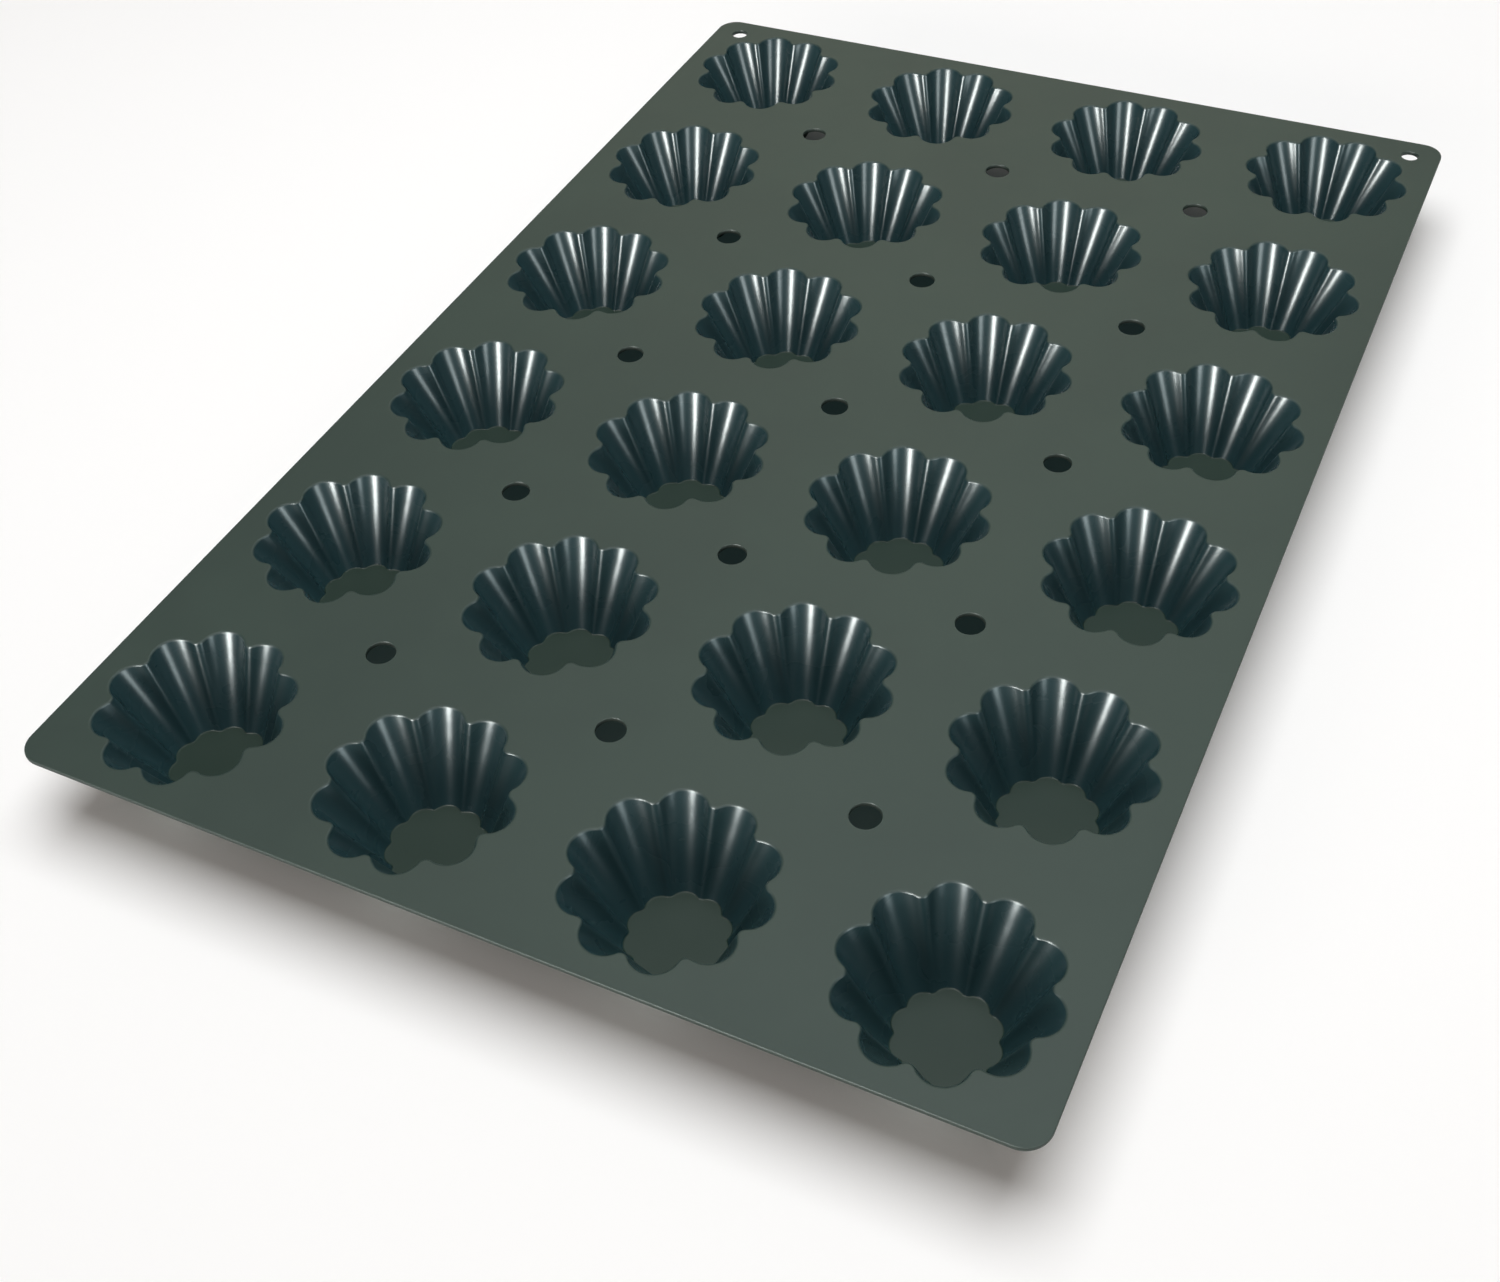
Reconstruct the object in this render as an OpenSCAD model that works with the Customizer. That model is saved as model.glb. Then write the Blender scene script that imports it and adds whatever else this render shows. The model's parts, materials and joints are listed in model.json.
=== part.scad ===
// Fluted baking mould: a thin moulded sheet that carries rows of fluted, tapered cups.
// X runs along the short side, Y along the long side, Z up. The cups stand on z = 0.

/* [Sheet] */
// Length of the sheet, along Y
sheet_l = 600; // [560:1:680]
// Width of the sheet, along X
sheet_w = 400; // [370:1:450]
// Thickness of the sheet
sheet_t = 2; // [1:0.1:4]
// Radius of the sheet's corners
corner_r = 10; // [3:0.5:15]

/* [Cup layout] */
// Rows of cups along the length
rows = 6; // [2:1:6]
// Columns of cups across the width
columns = 4; // [2:1:4]
// Bare border between the outermost mouths and the sheet's long edges
side_border = 9.5; // [5:0.5:16]
// Bare border between the outermost mouths and the sheet's short edges
end_border = 8; // [5:0.5:16]

/* [Cups] */
// Width of a cup's mouth, across opposite flutes
mouth_d = 77.5; // [66:0.5:84]
// Width of a cup's floor, across opposite flutes
floor_d = 39; // [30:0.5:52]
// Width of a cup's mouth, across opposite ridges
ridge_d = 66; // [62:0.2:70]
// Width of a cup's floor, across opposite ridges
ridge_floor_d = 35.6; // [30:0.2:37.6]
// Inside depth of a cup
cup_depth = 35; // [22:0.5:45]
// Flutes around a cup
flutes = 10; // [8:1:12]
// Radius of a flute where its back meets the mouth
flute_r = 10.2; // [9:0.1:12]
// Radius of a flute where its back meets the floor
flute_floor_r = 5.8; // [4.5:0.1:6]
// Thickness of a cup's fluted wall
wall_t = 2; // [1:0.1:3]
// Thickness of a cup's floor
floor_t = 2; // [1:0.1:4]
// Flat collar around a cup's wall, by which the sheet holds it
collar_w = 1.2; // [0.6:0.1:3]

/* [Holes] */
// Diameter of the air holes between the cups
vent_d = 11.5; // [6:0.5:20]
// Diameter of the two hanging holes
hang_d = 8; // [4:0.5:10]
// Land between a hanging hole and the collar of its corner cup
hang_land = 1.5; // [1:0.5:4]

/* [Hidden] */
$fn = 96;
sheet_colour = "#4b5752";
cup_colour = "#2c3a3a";
// Spare length by which a cutter runs past the face that it cuts
over = 1;

// Levels of the cup's floor and of the sheet's two faces
top_z = floor_t + cup_depth;
under_z = top_z - sheet_t;

// Slope of a flute's back, and of the ridges between the flutes
mouth_r = mouth_d / 2;
floor_r = floor_d / 2;
ridge_floor_r = ridge_floor_d / 2;
wall_angle = atan((mouth_r - floor_r) / cup_depth);
ridge_angle = atan((ridge_d / 2 - ridge_floor_r) / cup_depth);

// Each flute is a cone whose back lies along the wall's slope, from floor to mouth
back_l = cup_depth / cos(wall_angle);
flute_l = back_l / (1 - flute_floor_r / flute_r);
flute_half = asin(flute_r / flute_l);
flute_lean = wall_angle - flute_half;
apex_x = mouth_r - flute_l * sin(wall_angle);
apex_z = top_z - flute_l * cos(wall_angle);

// The cone runs far enough past floor and mouth for its square ends to stay clear of them
end_run = (flute_r + wall_t) * tan(flute_lean) + over;
flute_from = -apex_z / cos(flute_lean) - end_run;
flute_to = (top_z - apex_z) / cos(flute_lean) + end_run;

// The round seat in the sheet, shared with the cup's collar
seat_r = mouth_r + wall_t / cos(wall_angle) + collar_w;

pitch_x = (sheet_w - 2 * side_border - mouth_d) / (columns - 1);
pitch_y = (sheet_l - 2 * end_border - mouth_d) / (rows - 1);
function column_x(c) = (c - (columns + 1) / 2) * pitch_x;
function row_y(r) = ((rows + 1) / 2 - r) * pitch_y;

// The hanging holes sit on the diagonals of the two far corner cups
hang_reach = (seat_r + hang_land + hang_d / 2) * cos(45);
hang_x = column_x(columns) + hang_reach;
hang_y = row_y(1) + hang_reach;

function cup_name(r, c) = str("cup_row", r, "_col", c);

// Outline of the bare sheet, with true round corners
module sheet_outline() {
    square([sheet_w, sheet_l - 2 * corner_r], center = true);
    square([sheet_w - 2 * corner_r, sheet_l], center = true);
    for (x = [-1, 1], y = [-1, 1])
        translate([x * (sheet_w / 2 - corner_r), y * (sheet_l / 2 - corner_r)]) circle(corner_r);
}

// Round seats that the cups' collars fill
module seats() {
    for (r = [1 : rows], c = [1 : columns])
        translate([column_x(c), row_y(r)]) circle(seat_r);
}

// Air holes, one at each crossing between four cups
module vents() {
    for (r = [1 : rows - 1], c = [1 : columns - 1])
        translate([(column_x(c) + column_x(c + 1)) / 2, (row_y(r) + row_y(r + 1)) / 2]) circle(d = vent_d);
}

module hanging_holes() {
    for (side = [-1, 1])
        translate([side * hang_x, hang_y]) circle(d = hang_d);
}

// The sheet between the cups, open at every cup
module sheet() {
    color(sheet_colour)
        translate([0, 0, under_z])
            linear_extrude(sheet_t)
                difference() {
                    sheet_outline();
                    seats();
                    vents();
                    hanging_holes();
                }
}

// One flute: a cone on a leaning axis, grown outwards by the wall's thickness where there is one
module flute_cone(wall) {
    grown = wall / cos(flute_half);
    translate([apex_x, 0, apex_z])
        rotate([0, flute_lean, 0])
            translate([0, 0, flute_from])
                cylinder(
                    h = flute_to - flute_from,
                    r1 = flute_from * tan(flute_half) + grown,
                    r2 = flute_to * tan(flute_half) + grown
                );
}

// The upright cone that trims the ridges between neighbouring flutes to a narrow land
function ridge_r(z) = ridge_floor_r + (z - floor_t) * tan(ridge_angle);
module ridge_cone(wall, low, high) {
    grown = wall / cos(ridge_angle);
    translate([0, 0, low])
        cylinder(h = high - low, r1 = ridge_r(low) + grown, r2 = ridge_r(high) + grown);
}

// Solid of all the flutes between two levels
module fluted_body(wall, low, high) {
    intersection() {
        union() {
            ridge_cone(wall, low, high);
            for (i = [0 : flutes - 1])
                rotate([0, 0, i * 360 / flutes]) flute_cone(wall);
        }
        translate([0, 0, low]) cylinder(h = high - low, r = mouth_d);
    }
}

// One cup: an even fluted wall, a flat floor and a flat collar level with the sheet
module cup(r, c) {
    color(cup_colour)
        translate([column_x(c), row_y(r), 0])
            difference() {
                union() {
                    fluted_body(wall_t, 0, top_z);
                    translate([0, 0, under_z]) cylinder(h = sheet_t, r = seat_r);
                }
                fluted_body(0, floor_t, top_z + over);
            }
}

sheet();
for (r = [1 : rows], c = [1 : columns])
    cup(r, c);
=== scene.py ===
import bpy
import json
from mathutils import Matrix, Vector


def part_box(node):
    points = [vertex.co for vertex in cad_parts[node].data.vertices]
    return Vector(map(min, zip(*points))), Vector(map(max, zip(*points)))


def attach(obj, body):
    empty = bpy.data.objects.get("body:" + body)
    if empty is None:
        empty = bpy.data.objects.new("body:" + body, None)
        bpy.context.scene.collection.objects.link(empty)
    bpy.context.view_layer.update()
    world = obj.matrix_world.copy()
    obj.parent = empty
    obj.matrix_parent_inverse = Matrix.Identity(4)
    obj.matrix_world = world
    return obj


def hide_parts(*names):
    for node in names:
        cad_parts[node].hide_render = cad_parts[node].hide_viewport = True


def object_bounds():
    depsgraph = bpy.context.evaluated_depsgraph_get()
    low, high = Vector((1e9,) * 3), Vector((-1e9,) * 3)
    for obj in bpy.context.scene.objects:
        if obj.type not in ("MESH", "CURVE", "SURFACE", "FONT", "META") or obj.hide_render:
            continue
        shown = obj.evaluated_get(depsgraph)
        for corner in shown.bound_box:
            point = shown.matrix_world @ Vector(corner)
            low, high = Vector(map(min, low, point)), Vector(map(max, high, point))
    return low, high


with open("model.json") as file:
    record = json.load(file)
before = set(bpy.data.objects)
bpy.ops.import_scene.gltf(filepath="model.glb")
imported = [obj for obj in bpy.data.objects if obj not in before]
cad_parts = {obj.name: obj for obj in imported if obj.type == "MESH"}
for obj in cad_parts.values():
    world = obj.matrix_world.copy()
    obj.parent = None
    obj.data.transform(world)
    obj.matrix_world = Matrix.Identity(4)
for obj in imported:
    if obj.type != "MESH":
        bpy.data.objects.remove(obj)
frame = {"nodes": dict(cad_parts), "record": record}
cadBox = [list(corner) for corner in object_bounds()]

import json
import math

import bmesh
import bpy
from mathutils import Quaternion, Vector

# Fluted baking mould: a thin silicone sheet with rows of fluted cups, all in metres.


# node trees
class Wire:
    # one socket of a tree; sums on wires add Math nodes
    def __init__(self, tree, socket):
        self.tree = tree
        self.socket = socket

    def calc(self, operation, *rest):
        return self.tree.node("ShaderNodeMath", {"operation": operation}, [self, *rest])

    def __add__(self, other):
        return self.calc("ADD", other)

    def __sub__(self, other):
        return self.calc("SUBTRACT", other)

    def __mul__(self, other):
        return self.calc("MULTIPLY", other)

    def __rsub__(self, other):
        return self.tree.node("ShaderNodeMath", {"operation": "SUBTRACT"}, [other, self])

    __radd__ = __add__
    __rmul__ = __mul__


class Tree:
    def __init__(self, nodeTree):
        self.nodeTree = nodeTree

    # any node: its type, its settings, then its socket values or wires by name or in order
    # a list of wires goes into one socket
    def node(self, kind, settings=None, sockets=(), output=0):
        made = self.nodeTree.nodes.new(kind)
        for name, value in (settings or {}).items():
            setattr(made, name, value)
        pairs = sockets.items() if isinstance(sockets, dict) else enumerate(sockets)
        for key, value in pairs:
            for part in value if isinstance(value, list) else [value]:
                if isinstance(part, Wire):
                    self.nodeTree.links.new(part.socket, made.inputs[key])
                else:
                    made.inputs[key].default_value = part
        return Wire(self, made.outputs[output]) if made.outputs else made

    # another output of the node that a wire comes from
    def more(self, wire, output):
        return Wire(self, wire.socket.node.outputs[output])

    # a smooth 0 to 1 step between two values
    def step(self, value, low, high):
        return self.node("ShaderNodeMapRange", {"interpolation_type": "SMOOTHSTEP"},
                         {"Value": value, "From Min": low, "From Max": high})

    # a 0 to 1 value spread between two others
    def between(self, value, low, high):
        return self.node("ShaderNodeMapRange", None, {"Value": value, "To Min": low, "To Max": high})

    # a Mix node has sockets of one name for each kind of data, so the colour ones go by number
    def mixColour(self, share, first, second):
        return self.node("ShaderNodeMix", {"data_type": "RGBA"}, {0: share, 6: first, 7: second}, 2)


def newMaterial(name):
    material = bpy.data.materials.new(name)
    material.use_nodes = True
    material.node_tree.nodes.clear()
    return material, Tree(material.node_tree)


# a Geometry Nodes group: inputs are (name, socket type) pairs, and come back as wires
def newGeometryTree(name, inputs):
    group = bpy.data.node_groups.new(name, "GeometryNodeTree")
    group.interface.new_socket("Geometry", in_out="INPUT", socket_type="NodeSocketGeometry")
    group.interface.new_socket("Geometry", in_out="OUTPUT", socket_type="NodeSocketGeometry")
    for label, kind in inputs:
        group.interface.new_socket(label, in_out="INPUT", socket_type=kind)
    tree = Tree(group)
    entry = group.nodes.new("NodeGroupInput")
    wires = {socket.name: Wire(tree, socket) for socket in entry.outputs if socket.name}
    return group, tree, wires


# realize, give the silicone, and end the tree
def closeTree(tree, geometry, material):
    real = tree.node("GeometryNodeRealizeInstances", None, [geometry])
    finished = tree.node("GeometryNodeSetMaterial", None, {"Geometry": real, "Material": material})
    tree.node("NodeGroupOutput", None, [finished])


# runs a tree on a mesh and keeps the result as a plain mesh object
def growPiece(name, group, values, baseMesh):
    piece = bpy.data.objects.new(name, baseMesh)
    bpy.context.scene.collection.objects.link(piece)
    modifier = piece.modifiers.new("grow", "NODES")
    modifier.node_group = group
    for item in group.interface.items_tree:
        if item.in_out == "INPUT" and item.name in values:
            modifier[item.identifier] = values[item.name]
    bpy.context.view_layer.update()
    grown = piece.evaluated_get(bpy.context.evaluated_depsgraph_get())
    mesh = bpy.data.meshes.new_from_object(grown)
    piece.modifiers.remove(modifier)
    piece.data = mesh
    mesh.name = name
    return piece


# unit vector towards an azimuth, in degrees round from +X, and an elevation
def towards(azimuth, elevation):
    turn = math.radians(azimuth)
    lift = math.radians(elevation)
    return Vector((math.cos(turn) * math.cos(lift), math.sin(turn) * math.cos(lift), math.sin(lift)))


sheetLow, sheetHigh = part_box("sheet")
topLevel = sheetHigh.z
underLevel = sheetLow.z

# camera, at the photo's viewing angle
cameraSet = {
    "lens": 43.07,              # mm, as the sensor's width
    "sensorWidth": 36,
    "target": (0.0275, -0.1421),    # a point on the sheet's top
    "azimuth": -61.04,          # by the near short side, to the right
    "elevation": 45.863,
    "distance": 0.6838,
    "roll": -4.525,
}


def makeCamera():
    data = bpy.data.cameras.new("photoCamera")
    camera = bpy.data.objects.new("photoCamera", data)
    bpy.context.scene.collection.objects.link(camera)
    data.sensor_fit = "HORIZONTAL"
    data.sensor_width = cameraSet["sensorWidth"]
    data.lens = cameraSet["lens"]
    back = towards(cameraSet["azimuth"], cameraSet["elevation"])
    camera.location = Vector((*cameraSet["target"], topLevel)) + back * cameraSet["distance"]
    roll = Quaternion((0, 0, 1), math.radians(cameraSet["roll"]))
    camera.rotation_mode = "QUATERNION"
    camera.rotation_quaternion = (-back).to_track_quat("-Z", "Y") @ roll
    bpy.context.scene.camera = camera


makeCamera()
print("camera set")

# the seats: rows from the far end, columns from the left, as the nodes are named
rowCount = sum(name.endswith("_col1") for name in frame["nodes"])
columnCount = sum(name.startswith("cup_row1_") for name in frame["nodes"])


def cupNode(row, column):
    return f"cup_row{row}_col{column}"


def seatCentre(row, column):
    low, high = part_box(cupNode(row, column))
    return (low + high) / 2


firstLow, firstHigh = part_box(cupNode(1, 1))
seatRadius = (firstHigh.x - firstLow.x) / 2
columnPitch = seatCentre(1, 2).x - seatCentre(1, 1).x
rowPitch = seatCentre(1, 1).y - seatCentre(2, 1).y

# silicone: satin on the flats, painted shade that makes the cup floors darker, polished on the cup
# walls, whose colour carries a painted bluish reflection
siliconeLook = {
    "flatColour": (0.0279, 0.0467, 0.0370, 1),
    "flatShade": (0.0244, 0.0412, 0.0332, 1),
    # painted shade on the cup floors
    "floorPaintedShade": (0.0113, 0.0262, 0.0175, 1),
    # the walls' silicone colour, made bluer as a painted reflection
    "polishedColourAndBlueSheen": (0.0165, 0.0435, 0.0490, 1),
    "cloud": {"Scale": 14, "Detail": 4, "Roughness": 0.55},     # broad patches of tone
    "cloudSpan": (0.3, 0.7),    # where the patches are all shade, and all colour
    "smear": {"Scale": 55, "Detail": 3, "Distortion": 0.6},     # uneven gloss
    "grain": {"Scale": 1900, "Detail": 2, "Roughness": 0.6},    # fine tooth of the flats
    "grainShare": 0.3,          # in the roughness of the flats, the rest being smear
    "flatRoughness": (0.46, 0.56),
    "polishedRoughness": (0.25, 0.3),
    "cloudRelief": 0.5,         # height of the patches, with the grain as 1
    "reliefStrength": 0.35,
    "reliefDepth": 0.00003,
    "ior": 1.3,
}


# reads polish and the floors' painted shade from the cups' points; the sheet has neither, so it is flat
# all over
def makeSilicone():
    look = siliconeLook
    material, tree = newMaterial("mouldSilicone")
    place = tree.node("ShaderNodeTexCoord", output="Object")
    polish, depth = [tree.node("ShaderNodeAttribute", {"attribute_name": name}, output="Fac")
                     for name in ("polish", "depth")]
    cloud, smear, grain = [tree.node("ShaderNodeTexNoise", None, {"Vector": place, **look[name]})
                           for name in ("cloud", "smear", "grain")]
    flat = tree.mixColour(tree.step(cloud, *look["cloudSpan"]), look["flatShade"], look["flatColour"])
    # painted shade: the cup floors take a darker colour
    shaded = tree.mixColour(depth, flat, look["floorPaintedShade"])
    # the polished walls take their colour, with its painted bluish reflection
    colour = tree.mixColour(polish, shaded, look["polishedColourAndBlueSheen"])
    flatNoise = smear * (1 - look["grainShare"]) + grain * look["grainShare"]
    flatRough = tree.between(flatNoise, *look["flatRoughness"])
    polishedRough = tree.between(smear, *look["polishedRoughness"])
    rough = flatRough * (1 - polish) + polishedRough * polish
    bump = tree.node("ShaderNodeBump", None, {
        "Strength": look["reliefStrength"],
        "Distance": look["reliefDepth"],
        "Height": grain * (1 - polish) + cloud * look["cloudRelief"],
    })
    surface = tree.node("ShaderNodeBsdfPrincipled", None,
                        {"Base Color": colour, "Roughness": rough, "Normal": bump, "IOR": look["ior"]})
    tree.node("ShaderNodeOutputMaterial", None, {"Surface": surface})
    return material


silicone = makeSilicone()
print("silicone made")

# one cup: a loft of fluted outlines, from the middle of its floor, over the rim and down the outside
cupShape = {
    "flutes": 10,
    "mouthRadius": 0.03875,     # to the back of a flute
    "floorRadius": 0.0195,
    "mouthFlute": 0.0091,       # radius of a flute, at the mouth and at the floor
    "floorFlute": 0.0060,
    "mouthCrest": 0.0029,       # rounding of the ridges between flutes
    "floorCrest": 0.0020,
    "wall": 0.002,
    "floor": 0.002,
    "rimRound": 0.0014,
    "floorRound": 0.0007,
    "footRound": 0.0022,        # outside, under the floor
    "underRound": 0.0016,       # outside, under the collar
    "grooveRadius": 0.001,      # hollow between the flutes on the outside
    "fluteSteps": 20,
    "crestSteps": 6,
    "roundSteps": 6,
    "wallSteps": 6,
    "flatRings": (0.12, 0.55, 0.97),    # rings on the floor and the foot, as shares of their outlines
    "flatTolerance": 0.000001,  # faces with a smaller rise are level, and shaded flat
}


# a closed outline of round flutes, joined by small round crests, one flute along +X
def flutedOutline(centre, flute, crest):
    half = math.pi / cupShape["flutes"]
    reach = centre * math.cos(half) + math.sqrt((flute + crest) ** 2 - (centre * math.sin(half)) ** 2)
    spread = math.atan2(reach * math.sin(half), reach * math.cos(half) - centre)
    points = []
    for number in range(cupShape["flutes"]):
        middle = 2 * half * number
        for step in range(cupShape["fluteSteps"] + 1):
            turn = middle + spread * (2 * step / cupShape["fluteSteps"] - 1)
            points.append((centre * math.cos(middle) + flute * math.cos(turn),
                           centre * math.sin(middle) + flute * math.sin(turn)))
        ridge = middle + half
        for step in range(1, cupShape["crestSteps"]):
            turn = ridge + math.pi + (spread - half) * (1 - 2 * step / cupShape["crestSteps"])
            points.append((reach * math.cos(ridge) + crest * math.cos(turn),
                           reach * math.sin(ridge) + crest * math.sin(turn)))
    return points


# points round a ring, and round the seat that the sheet leaves for a cup
seatPoints = cupShape["flutes"] * (cupShape["fluteSteps"] + cupShape["crestSteps"])


# starts half a flute before +X, as the fluted outline does
def roundOutline(radius):
    first = -(cupShape["fluteSteps"] // 2)
    turns = [2 * math.pi * (first + index) / seatPoints for index in range(seatPoints)]
    return [(radius * math.cos(turn), radius * math.sin(turn)) for turn in turns]


# flutes and ridges change evenly from floor to mouth; grow moves an outline outwards
def cupRings():
    shape = cupShape
    floorLevel = shape["floor"]
    lean = math.atan((shape["mouthRadius"] - shape["floorRadius"]) / (topLevel - floorLevel))
    bend = math.pi / 2 - lean

    def sizeAt(level, kind):
        share = (level - floorLevel) / (topLevel - floorLevel)
        return shape["floor" + kind] * (1 - share) + shape["mouth" + kind] * share

    def outline(level, grow, crest):
        flute = sizeAt(level, "Flute")
        return flutedOutline(sizeAt(level, "Radius") - flute, flute + grow, crest)

    def crestAt(level):
        return sizeAt(level, "Crest")

    # rounding between a flat and the leaning wall: sideways offset from the wall, and height
    def rounding(radius, upper):
        reach = radius * math.tan(bend / 2)
        found = []
        for step in range(shape["roundSteps"] + 1):
            turn = bend * step / shape["roundSteps"]
            if upper:
                side = reach - radius * math.sin(bend - turn)
                height = radius * math.cos(bend - turn) - radius
            else:
                side = radius * math.sin(turn) - reach
                height = radius - radius * math.cos(turn)
            found.append((side - height * math.tan(lean), height))
        return found

    rings = []

    # polish is 1 on the inside of the wall; the painted shade of the floor is 1 on the floor
    def ring(points, level, polish, depth=0):
        rings.append(([Vector((x, y, level)) for x, y in points], polish, depth))

    # floor, then its rounding, which is polished where it meets the wall
    floorArc = rounding(shape["floorRound"], upper=False)
    floorEdge = outline(floorLevel, floorArc[0][0], crestAt(floorLevel) - floorArc[0][0])
    # the floor and its rounding carry the full painted shade, as a darker colour
    for share in shape["flatRings"]:
        ring([(x * share, y * share) for x, y in floorEdge], floorLevel, 0, 1)
    for grow, height in floorArc:
        level = floorLevel + height
        meetsWall = height == floorArc[-1][1]
        ring(outline(level, grow, crestAt(level) - grow), level, int(meetsWall), 1)

    # wall, then the rounded rim, on which the polish fades out
    rimArc = rounding(shape["rimRound"], upper=True)
    wallLow = floorLevel + floorArc[-1][1]
    wallHigh = topLevel + rimArc[0][1]
    for step in range(1, shape["wallSteps"]):
        level = wallLow + (wallHigh - wallLow) * step / shape["wallSteps"]
        ring(outline(level, 0, crestAt(level)), level, 1)
    for grow, height in rimArc:
        level = topLevel + height
        ring(outline(level, grow, crestAt(level) - grow), level, height / rimArc[0][1])

    # collar: level with the sheet, down its seat, and back under it
    ring(roundOutline(seatRadius), topLevel, 0)
    ring(roundOutline(seatRadius), underLevel, 0)

    # outside of the wall, with the hollow grooves between the flutes
    outward = shape["wall"] / math.cos(lean)
    underArc = list(reversed(rounding(shape["underRound"], upper=True)))
    footArc = list(reversed(rounding(shape["footRound"], upper=False)))
    for grow, height in underArc:
        level = underLevel + height
        ring(outline(level, outward + grow, shape["grooveRadius"]), level, 0)
    outerHigh = underLevel + underArc[-1][1]
    outerLow = footArc[0][1]
    for step in range(1, shape["wallSteps"]):
        level = outerHigh + (outerLow - outerHigh) * step / shape["wallSteps"]
        ring(outline(level, outward, shape["grooveRadius"]), level, 0)
    for grow, height in footArc:
        ring(outline(height, outward + grow, shape["grooveRadius"] - grow), height, 0)
    foot = rings[-1][0]
    for share in reversed(shape["flatRings"]):
        ring([(point.x * share, point.y * share) for point in foot], 0, 0)
    return rings


# faces between the rings, and a fan over the first and the last
def makeCupMesh():
    rings = cupRings()
    form = bmesh.new()
    polishLayer = form.verts.layers.float.new("polish")
    depthLayer = form.verts.layers.float.new("depth")
    loops = []
    for points, polish, depth in rings:
        loop = [form.verts.new(point) for point in points]
        for vert in loop:
            vert[polishLayer] = polish
            vert[depthLayer] = depth
        loops.append(loop)
    count = len(loops[0])
    for low, high in zip(loops, loops[1:]):
        for index in range(count):
            after = (index + 1) % count
            form.faces.new((low[index], low[after], high[after], high[index]))
    for loop, level in ((loops[0], cupShape["floor"]), (loops[-1], 0)):
        middle = form.verts.new((0, 0, level))
        middle[depthLayer] = loop[0][depthLayer]
        for index in range(count):
            form.faces.new((loop[index], loop[(index + 1) % count], middle))
    bmesh.ops.recalc_face_normals(form, faces=form.faces)
    for face in form.faces:
        levels = [vert.co.z for vert in face.verts]
        face.smooth = max(levels) - min(levels) > cupShape["flatTolerance"]
    mesh = bpy.data.meshes.new("cup")
    form.to_mesh(mesh)
    form.free()
    return mesh


# a row of cups: the cup set down at each seat of its row
def makeRowTree():
    group, tree, wires = newGeometryTree("cupRow", [
        ("Cups", "NodeSocketInt"),
        ("First seat", "NodeSocketVector"),
        ("Pitch", "NodeSocketVector"),
        ("Silicone", "NodeSocketMaterial"),
    ])
    seats = tree.node("GeometryNodeMeshLine", {"mode": "OFFSET"}, {
        "Count": wires["Cups"],
        "Start Location": wires["First seat"],
        "Offset": wires["Pitch"],
    })
    cups = tree.node("GeometryNodeInstanceOnPoints", None,
                     {"Points": seats, "Instance": wires["Geometry"]})
    closeTree(tree, cups, wires["Silicone"])
    return group


cupMesh = makeCupMesh()
rowTree = makeRowTree()
for row in range(1, rowCount + 1):
    seat = seatCentre(row, 1)
    cups = growPiece(f"fluted_cups_row{row}", rowTree, {
        "Cups": columnCount,
        "First seat": (seat.x, seat.y, 0),
        "Pitch": (columnPitch, 0, 0),
        "Silicone": silicone,
    }, cupMesh)
    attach(cups, "root")
    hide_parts(*[cupNode(row, column) for column in range(1, columnCount + 1)])
print("cups lofted and set in rows")

# the sheet between the cups, open at the seats, with rounded edges at its outline and holes
sheetShape = {
    "cornerRadius": 0.010,
    "cornerSteps": 14,
    "edgeRound": 0.0003,
    "holeRound": 0.0003,
    "edgeSteps": 13,
    "ventRadius": 0.00575,
    "holeSteps": 48,
    "weld": 0.000001,
    "flatLimit": 0.999,         # faces that point up or down more than this stay flat
}
hangHole = next(mount for mount in frame["record"]["mounts"] if mount["name"] == "hang_hole_right")


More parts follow.
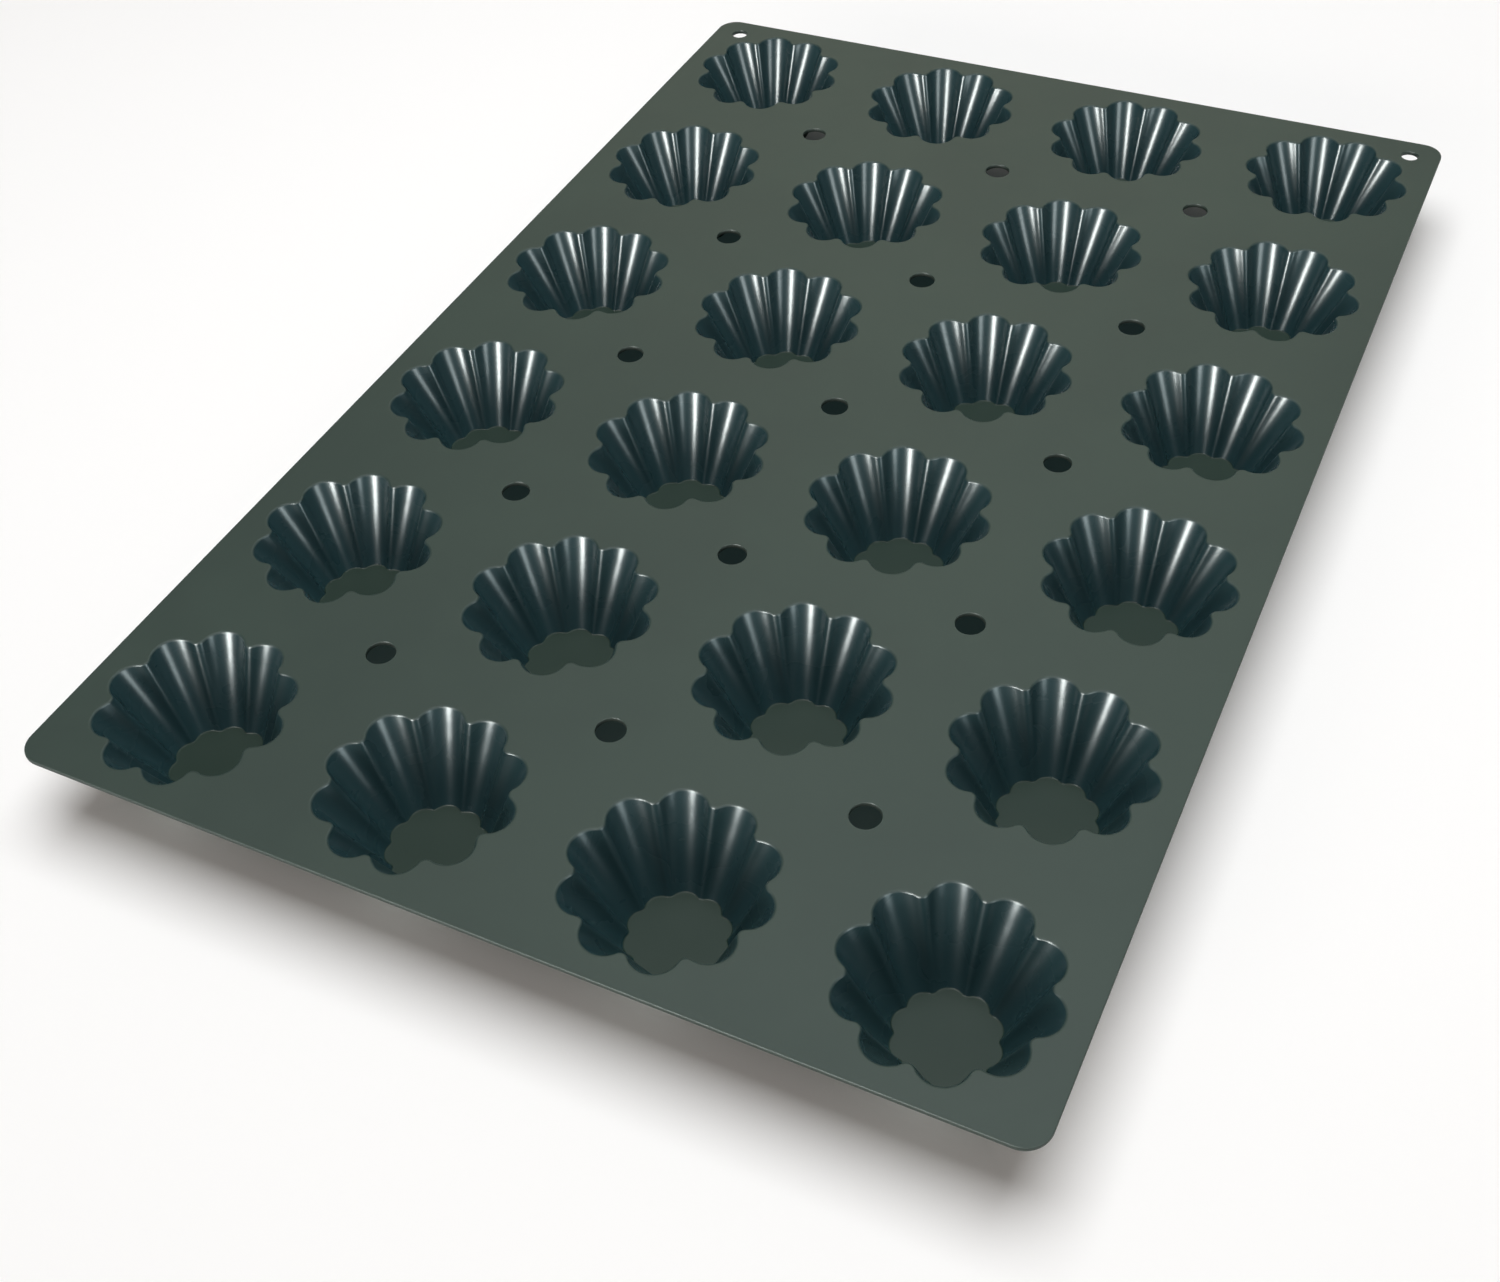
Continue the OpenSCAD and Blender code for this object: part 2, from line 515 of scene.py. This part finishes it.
def makeSheetTree():
    group, tree, wires = newGeometryTree("mouldSheet", [
        ("Width", "NodeSocketFloat"),
        ("Length", "NodeSocketFloat"),
        ("Thickness", "NodeSocketFloat"),
        ("Top level", "NodeSocketFloat"),
        ("Corner radius", "NodeSocketFloat"),
        ("Edge round", "NodeSocketFloat"),
        ("Hole round", "NodeSocketFloat"),
        ("Columns", "NodeSocketInt"),
        ("Rows", "NodeSocketInt"),
        ("Column pitch", "NodeSocketFloat"),
        ("Row pitch", "NodeSocketFloat"),
        ("Seat radius", "NodeSocketFloat"),
        ("Seat points", "NodeSocketInt"),
        ("Vent radius", "NodeSocketFloat"),
        ("Hang radius", "NodeSocketFloat"),
        ("Hang left", "NodeSocketVector"),
        ("Hang right", "NodeSocketVector"),
        ("Silicone", "NodeSocketMaterial"),
    ])
    edge = wires["Edge round"]
    holeEdge = wires["Hole round"]
    thickness = wires["Thickness"]
    topSide = wires["Top level"]

    def circles(radius, steps, points):
        circle = tree.node("GeometryNodeCurvePrimitiveCircle", None,
                           {"Resolution": steps, "Radius": radius})
        copies = tree.node("GeometryNodeInstanceOnPoints", None, {"Points": points, "Instance": circle})
        return tree.node("GeometryNodeRealizeInstances", None, [copies])

    def grid(columns, rows):
        return tree.node("GeometryNodeMeshGrid", None, {
            "Size X": (columns - 1) * wires["Column pitch"],
            "Size Y": (rows - 1) * wires["Row pitch"],
            "Vertices X": columns,
            "Vertices Y": rows,
        })

    def joined(*parts):
        return tree.node("GeometryNodeJoinGeometry", None, [list(parts)])

    def raised(geometry, level):
        shift = tree.node("ShaderNodeCombineXYZ", None, {"Z": level})
        return tree.node("GeometryNodeTransform", None, {"Geometry": geometry, "Translation": shift})

    def flipped(geometry):
        return tree.node("GeometryNodeFlipFaces", None, [geometry])

    # outline, seats and holes as curves, drawn back by the edge's rounding where there is one
    rectangle = tree.node("GeometryNodeCurvePrimitiveQuadrilateral", None, {
        "Width": wires["Width"] - 2 * edge,
        "Height": wires["Length"] - 2 * edge,
    })
    outline = tree.node("GeometryNodeFilletCurve", {"mode": "POLY"}, {
        "Curve": rectangle,
        "Radius": wires["Corner radius"] - edge,
        "Count": sheetShape["cornerSteps"],
    })
    seats = circles(wires["Seat radius"], wires["Seat points"], grid(wires["Columns"], wires["Rows"]))
    ventGrid = grid(wires["Columns"] - 1, wires["Rows"] - 1)    # one vent between every four cups
    vents = circles(wires["Vent radius"] + holeEdge, sheetShape["holeSteps"], ventGrid)
    hangPair = joined(*[tree.node("GeometryNodePoints", None, {"Position": wires[name]})
                        for name in ("Hang left", "Hang right")])
    hangs = circles(wires["Hang radius"] + holeEdge, sheetShape["holeSteps"], hangPair)
    holes = joined(vents, hangs)

    # the two flat sides
    face = tree.node("GeometryNodeFillCurve", None, [joined(outline, seats, holes)])
    top = raised(face, topSide)
    bottom = flipped(raised(face, topSide - thickness))

    # edge section: half an ellipse, swept along the outline and round the holes
    line = tree.node("GeometryNodeCurvePrimitiveLine", None, {"End": (0, 1, 0)})
    dense = tree.node("GeometryNodeResampleCurve", None,
                      {"Curve": line, "Count": sheetShape["edgeSteps"]})
    turn = (tree.node("GeometryNodeSplineParameter") - 0.5) * math.pi     # a half turn from end to end
    rise = turn.calc("SINE") * thickness * 0.5
    bulge = turn.calc("COSINE").calc("MAXIMUM", 0)     # nothing at the ends

    def swept(curve, section, sideways):
        spot = tree.node("ShaderNodeCombineXYZ", None, {"X": sideways, "Y": rise})
        shaped = tree.node("GeometryNodeSetPosition", None, {"Geometry": section, "Position": spot})
        return tree.node("GeometryNodeCurveToMesh", None, {
            "Curve": raised(curve, topSide - thickness * 0.5),
            "Profile Curve": shaped,
        })

    # the seats have plain upright walls, which the cups' collars meet
    rim = swept(outline, dense, bulge * edge)
    holeRims = flipped(swept(holes, dense, 0 - bulge * holeEdge))
    seatWalls = flipped(swept(seats, line, 0))
    whole = tree.node("GeometryNodeMergeByDistance", None, {
        "Geometry": joined(top, bottom, rim, holeRims, seatWalls),
        "Distance": sheetShape["weld"],
    })
    upright = tree.node("ShaderNodeSeparateXYZ", None, [tree.node("GeometryNodeInputNormal")], "Z")
    rounded = upright.calc("ABSOLUTE").calc("LESS_THAN", sheetShape["flatLimit"])
    shaded = tree.node("GeometryNodeSetShadeSmooth", None, {"Geometry": whole, "Shade Smooth": rounded})
    closeTree(tree, shaded, wires["Silicone"])
    return group


hangX, hangY = hangHole["pos_m"][:2]
sheet = growPiece("mould_sheet", makeSheetTree(), {
    "Width": sheetHigh.x - sheetLow.x,
    "Length": sheetHigh.y - sheetLow.y,
    "Thickness": topLevel - underLevel,
    "Top level": topLevel,
    "Corner radius": sheetShape["cornerRadius"],
    "Edge round": sheetShape["edgeRound"],
    "Hole round": sheetShape["holeRound"],
    "Columns": columnCount,
    "Rows": rowCount,
    "Column pitch": columnPitch,
    "Row pitch": rowPitch,
    "Seat radius": seatRadius,
    "Seat points": seatPoints,
    "Vent radius": sheetShape["ventRadius"],
    "Hang radius": hangHole["dims"]["r_mm"] / 1000,
    "Hang left": (-hangX, hangY, 0),
    "Hang right": (hangX, hangY, 0),
    "Silicone": silicone,
}, bpy.data.meshes.new("sheetSeed"))
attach(sheet, "root")
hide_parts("sheet")
print("sheet filled and edged")

# floor: pale, with painted shadow and a painted green glow on the ground under the mould, which the
# holes show
floorLook = {
    "size": 14,
    "colour": (0.965, 0.95, 0.94, 1),
    "shade": (0.95, 0.935, 0.925, 1),
    "cloudScale": 1.5,
    "roughness": 0.9,
    "plainShare": 0.05,         # of a plain glow in what the camera sees, the rest being lit floor
    "plainColour": (1, 0.965, 0.945, 1),
    # painted shadow on the ground under the mould
    "underPaintedShadow": (0.26, 0.31, 0.30, 1),
    # painted green bounce light, glowing on the ground under the mould
    "underPaintedGreenGlow": (0.16, 0.30, 0.29, 1),
    "paintedShadowEdge": (0.008, 0.065),    # how far in from the edges the painted shadow begins, and is full
    "paintedShadowShift": 0.006,        # and how far it lies towards the near end
    "drop": 0.0002,             # just under the cups, so that no faces lie in one plane
}


def makeFloor():
    look = floorLook
    half = look["size"] / 2
    level = cadBox[0][2] - look["drop"]
    corners = [(x * half, y * half, level) for x, y in ((-1, -1), (1, -1), (1, 1), (-1, 1))]
    mesh = bpy.data.meshes.new("floor")
    mesh.from_pydata(corners, [], [(0, 1, 2, 3)])
    material, tree = newMaterial("paleFloor")
    place = tree.node("ShaderNodeTexCoord", output="Object")

    # the painted shadow's mask: 1 out in the open, 0 well under the mould
    across = tree.node("ShaderNodeSeparateXYZ", None, [place])
    along = tree.more(across, "Y")
    side = sheetHigh.x - across.calc("ABSOLUTE")
    end = sheetHigh.y - (along + look["paintedShadowShift"]).calc("ABSOLUTE")
    clear = 1 - tree.step(side.calc("MINIMUM", end), *look["paintedShadowEdge"])

    cloud = tree.node("ShaderNodeTexNoise", None, {"Vector": place, "Scale": look["cloudScale"]})
    bright = tree.mixColour(cloud, look["shade"], look["colour"])
    # painted shadow: the ground under the mould takes a dark colour
    colour = tree.mixColour(clear, look["underPaintedShadow"], bright)
    matt = tree.node("ShaderNodeBsdfPrincipled", None,
                     {"Base Color": colour, "Roughness": look["roughness"], "Specular IOR Level": 0})
    # painted green bounce light: the glow under the mould takes a green tint
    tint = tree.mixColour(clear, look["underPaintedGreenGlow"], look["plainColour"])
    plain = tree.node("ShaderNodeEmission", None, {"Color": tint, "Strength": 1})
    direct = tree.node("ShaderNodeLightPath", output="Is Camera Ray")
    mirrored = tree.more(direct, "Is Glossy Ray")
    through = tree.more(direct, "Is Transmission Ray")
    seen = direct.calc("MAXIMUM", mirrored).calc("MAXIMUM", through)
    surface = tree.node("ShaderNodeMixShader", None, [seen * look["plainShare"], matt, plain])
    tree.node("ShaderNodeOutputMaterial", None, {"Surface": surface})
    mesh.materials.append(material)
    floor = bpy.data.objects.new("studio_floor", mesh)
    bpy.context.scene.collection.objects.link(floor)


makeFloor()

# light: a soft box overhead, a far warm fill, and boxes that show only as reflections in the cups
# each lamp looks at the mould; shows says what it lights: the colour of things, their gloss, or both
lampSet = {
    "overheadBox": {
        "azimuth": 90, "elevation": 86.4, "distance": 1.97, "size": (1.8, 1.8),
        "radiance": 4.38, "colour": (0.966, 0.995, 1.01), "shows": "both",
    },
    "frontFill": {
        "azimuth": 265, "elevation": 12, "distance": 12, "size": (12, 3.84),
        "radiance": 4.2, "colour": (1.0, 0.90, 0.82), "shows": "colour",
    },
    "backBox": {
        "azimuth": 108, "elevation": 34, "distance": 3.0, "size": (2.0, 1.4),
        "radiance": 2.2, "colour": (1.0, 0.91, 0.72), "shows": "gloss",
    },
    "highBox": {
        "azimuth": 85, "elevation": 64, "distance": 2.5, "size": (1.2, 0.8),
        "radiance": 2.6, "colour": (0.85, 1.0, 1.12), "shows": "gloss",
    },
    "frontWindow": {
        "azimuth": 260, "elevation": 23, "distance": 2.0, "size": (0.5, 1.15),
        "radiance": 114, "colour": (0.98, 1.0, 0.97), "shows": "gloss",
    },
    "sideBox": {
        "azimuth": 336, "elevation": 29, "distance": 2.0, "size": (0.6, 1.15),
        "radiance": 21, "colour": (0.92, 1.0, 1.0), "shows": "gloss",
    },
    "sideLow": {
        "azimuth": 334, "elevation": 9, "distance": 2.0, "size": (0.6, 0.5),
        "radiance": 11, "colour": (0.85, 1.0, 1.02), "shows": "gloss",
    },
    "frontWall": {
        "azimuth": 270, "elevation": 17, "distance": 3.0, "size": (7.0, 2.2),
        "radiance": 0.8, "colour": (0.75, 1.0, 1.05), "shows": "gloss",
    },
}
worldLook = {
    "colour": (1.0, 0.93, 0.89, 1),
    "level": 0.15,
}


def makeLamps():
    aim = Vector((0, 0, topLevel))
    for name, lamp in lampSet.items():
        data = bpy.data.lights.new(name, "AREA")
        data.shape = "RECTANGLE"
        data.size, data.size_y = lamp["size"]
        data.energy = lamp["radiance"] * math.pi * data.size * data.size_y
        data.color = lamp["colour"]
        lampObject = bpy.data.objects.new(name, data)
        away = towards(lamp["azimuth"], lamp["elevation"])
        lampObject.location = aim + away * lamp["distance"]
        lampObject.rotation_euler = (-away).to_track_quat("-Z", "Y").to_euler()
        lampObject.visible_diffuse = lamp["shows"] != "gloss"
        lampObject.visible_glossy = lamp["shows"] != "colour"
        bpy.context.scene.collection.objects.link(lampObject)


def makeWorld():
    world = bpy.data.worlds.new("studio")
    bpy.context.scene.world = world
    world.use_nodes = True
    background = world.node_tree.nodes["Background"]
    background.inputs["Color"].default_value = worldLook["colour"]
    background.inputs["Strength"].default_value = worldLook["level"]


makeLamps()
makeWorld()
bpy.context.scene.view_settings.view_transform = "Standard"
print("floor and light set")
